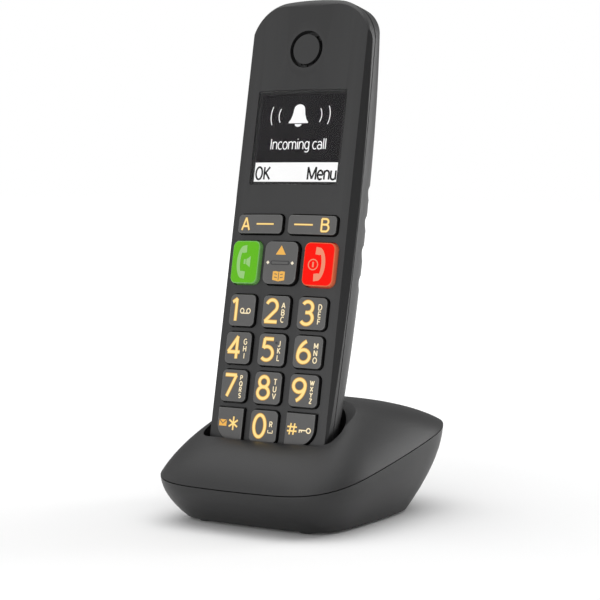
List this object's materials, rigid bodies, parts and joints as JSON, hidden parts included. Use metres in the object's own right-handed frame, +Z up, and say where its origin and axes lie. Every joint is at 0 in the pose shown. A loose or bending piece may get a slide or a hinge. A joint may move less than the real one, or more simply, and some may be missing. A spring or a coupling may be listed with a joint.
{
  "type": "cordless phone with base",
  "caption": "Cordless telephone handset with large lit keys and a display, leaning back in a low domed charging base.",
  "frame": {"origin": "on the ground under the middle of the base", "axes": "+Z up, -Y towards the user, +X to the user's right"},
  "size_m": [0.0773, 0.0934, 0.1766],
  "materials": {
    "shell": "fine matt texture",
    "keys": "satin",
    "talk_key": "translucent green, lit from behind",
    "end_key": "translucent red, lit from behind",
    "window": "clear, polished",
    "display": "dark display",
    "backlight": "white diffuser",
    "rubber": "matt",
    "mat": "translucent silicone",
    "board": "green solder mask",
    "steel": "plain",
    "nickel": "nickel plated",
    "gold": "gold plated",
    "cell": "printed sleeve",
    "black_plastic": "plain",
    "led": "clear"
  },
  "bodies": {
    "base": {"base_top_cover": "shell", "base_tray": "shell", "base_feet": "rubber", "base_screws": "steel", "base_circuit_board": "board", "base_radio_shield": "nickel", "base_antenna": "nickel", "contact_carrier": "black_plastic", "line_socket": "black_plastic", "power_socket": "black_plastic", "paging_switch": "black_plastic"},
    "handset": {"handset_front_shell": "shell", "handset_rear_shell": "shell", "display_window": "window", "display_module": "display", "display_backlight": "backlight", "earpiece_insert": "shell", "earpiece_speaker": "black_plastic", "microphone": "nickel", "keypad_mat": "mat", "key_domes": "nickel", "keypad_leds": "led", "handset_circuit_board": "board", "handset_radio_shield": "nickel", "handset_antenna": "gold", "ringer_speaker": "black_plastic", "battery_cell_left": "cell", "battery_cell_right": "cell", "battery_springs": "nickel", "battery_contacts": "nickel", "handset_charge_pads": "gold", "handset_screws": "steel"},
    "battery_cover_body": {"battery_cover": "shell"},
    "contact_left_body": {"charge_contact_left": "gold"},
    "contact_right_body": {"charge_contact_right": "gold"},
    "paging_button_body": {"paging_button": "shell"},
    "navigation_body": {"key_navigation": "keys"},
    "key_1_body": {"key_1": "keys"},
    "key_2_body": {"key_2": "keys"},
    "key_3_body": {"key_3": "keys"},
    "key_4_body": {"key_4": "keys"},
    "key_5_body": {"key_5": "keys"},
    "key_6_body": {"key_6": "keys"},
    "key_7_body": {"key_7": "keys"},
    "key_8_body": {"key_8": "keys"},
    "key_9_body": {"key_9": "keys"},
    "key_star_body": {"key_star": "keys"},
    "key_0_body": {"key_0": "keys"},
    "key_hash_body": {"key_hash": "keys"},
    "key_talk_body": {"key_talk": "talk_key"},
    "key_end_body": {"key_end": "end_key"},
    "key_soft_left_body": {"key_soft_left": "keys"},
    "key_soft_right_body": {"key_soft_right": "keys"}
  },
  "joints": [
    {"name": "handset_lift", "type": "slide", "parent": "base", "child": "handset", "axis": [0, 0.1961, 0.9806], "range_m": [0, 0.12]},
    {"name": "battery_cover_hinge", "type": "hinge", "parent": "handset", "child": "battery_cover_body", "pos_m": [0, 0.00334, 0.04763], "axis": [-1, 0, 0], "range_deg": [0, 40]},
    {"name": "navigation_rock", "type": "hinge", "parent": "handset", "child": "navigation_body", "pos_m": [0, -0.01079, 0.08635], "axis": [1, 0, 0], "range_deg": [-3.5, 3.5], "stiffness_Nm_per_rad": 0.06},
    {"name": "paging_press", "type": "slide", "parent": "base", "child": "paging_button_body", "axis": [0, -1, 0], "range_m": [0, 0.0008], "stiffness_N_per_m": 300, "springref_m": -0.0005},
    {"name": "contact_left_press", "type": "slide", "parent": "base", "child": "contact_left_body", "axis": [0, 0.1961, 0.9806], "range_m": [-0.0008, 0], "stiffness_N_per_m": 300, "springref_m": 0.0005},
    {"name": "contact_right_press", "type": "slide", "parent": "base", "child": "contact_right_body", "axis": [0, 0.1961, 0.9806], "range_m": [-0.0008, 0], "stiffness_N_per_m": 300, "springref_m": 0.0005},
    {"name": "key_1_press", "type": "slide", "parent": "handset", "child": "key_1_body", "axis": [0, 0.9806, -0.1961], "range_m": [0, 0.0007], "stiffness_N_per_m": 400, "springref_m": -0.0005},
    {"name": "key_2_press", "type": "slide", "parent": "handset", "child": "key_2_body", "axis": [0, 0.9806, -0.1961], "range_m": [0, 0.0007], "stiffness_N_per_m": 400, "springref_m": -0.0005},
    {"name": "key_3_press", "type": "slide", "parent": "handset", "child": "key_3_body", "axis": [0, 0.9806, -0.1961], "range_m": [0, 0.0007], "stiffness_N_per_m": 400, "springref_m": -0.0005},
    {"name": "key_4_press", "type": "slide", "parent": "handset", "child": "key_4_body", "axis": [0, 0.9806, -0.1961], "range_m": [0, 0.0007], "stiffness_N_per_m": 400, "springref_m": -0.0005},
    {"name": "key_5_press", "type": "slide", "parent": "handset", "child": "key_5_body", "axis": [0, 0.9806, -0.1961], "range_m": [0, 0.0007], "stiffness_N_per_m": 400, "springref_m": -0.0005},
    {"name": "key_6_press", "type": "slide", "parent": "handset", "child": "key_6_body", "axis": [0, 0.9806, -0.1961], "range_m": [0, 0.0007], "stiffness_N_per_m": 400, "springref_m": -0.0005},
    {"name": "key_7_press", "type": "slide", "parent": "handset", "child": "key_7_body", "axis": [0, 0.9806, -0.1961], "range_m": [0, 0.0007], "stiffness_N_per_m": 400, "springref_m": -0.0005},
    {"name": "key_8_press", "type": "slide", "parent": "handset", "child": "key_8_body", "axis": [0, 0.9806, -0.1961], "range_m": [0, 0.0007], "stiffness_N_per_m": 400, "springref_m": -0.0005},
    {"name": "key_9_press", "type": "slide", "parent": "handset", "child": "key_9_body", "axis": [0, 0.9806, -0.1961], "range_m": [0, 0.0007], "stiffness_N_per_m": 400, "springref_m": -0.0005},
    {"name": "key_star_press", "type": "slide", "parent": "handset", "child": "key_star_body", "axis": [0, 0.9806, -0.1961], "range_m": [0, 0.0007], "stiffness_N_per_m": 400, "springref_m": -0.0005},
    {"name": "key_0_press", "type": "slide", "parent": "handset", "child": "key_0_body", "axis": [0, 0.9806, -0.1961], "range_m": [0, 0.0007], "stiffness_N_per_m": 400, "springref_m": -0.0005},
    {"name": "key_hash_press", "type": "slide", "parent": "handset", "child": "key_hash_body", "axis": [0, 0.9806, -0.1961], "range_m": [0, 0.0007], "stiffness_N_per_m": 400, "springref_m": -0.0005},
    {"name": "key_talk_press", "type": "slide", "parent": "handset", "child": "key_talk_body", "axis": [0, 0.9806, -0.1961], "range_m": [0, 0.0007], "stiffness_N_per_m": 400, "springref_m": -0.0005},
    {"name": "key_end_press", "type": "slide", "parent": "handset", "child": "key_end_body", "axis": [0, 0.9806, -0.1961], "range_m": [0, 0.0007], "stiffness_N_per_m": 400, "springref_m": -0.0005},
    {"name": "key_soft_left_press", "type": "slide", "parent": "handset", "child": "key_soft_left_body", "axis": [0, 0.9806, -0.1961], "range_m": [0, 0.0007], "stiffness_N_per_m": 400, "springref_m": -0.0005},
    {"name": "key_soft_right_press", "type": "slide", "parent": "handset", "child": "key_soft_right_body", "axis": [0, 0.9806, -0.1961], "range_m": [0, 0.0007], "stiffness_N_per_m": 400, "springref_m": -0.0005}
  ]
}
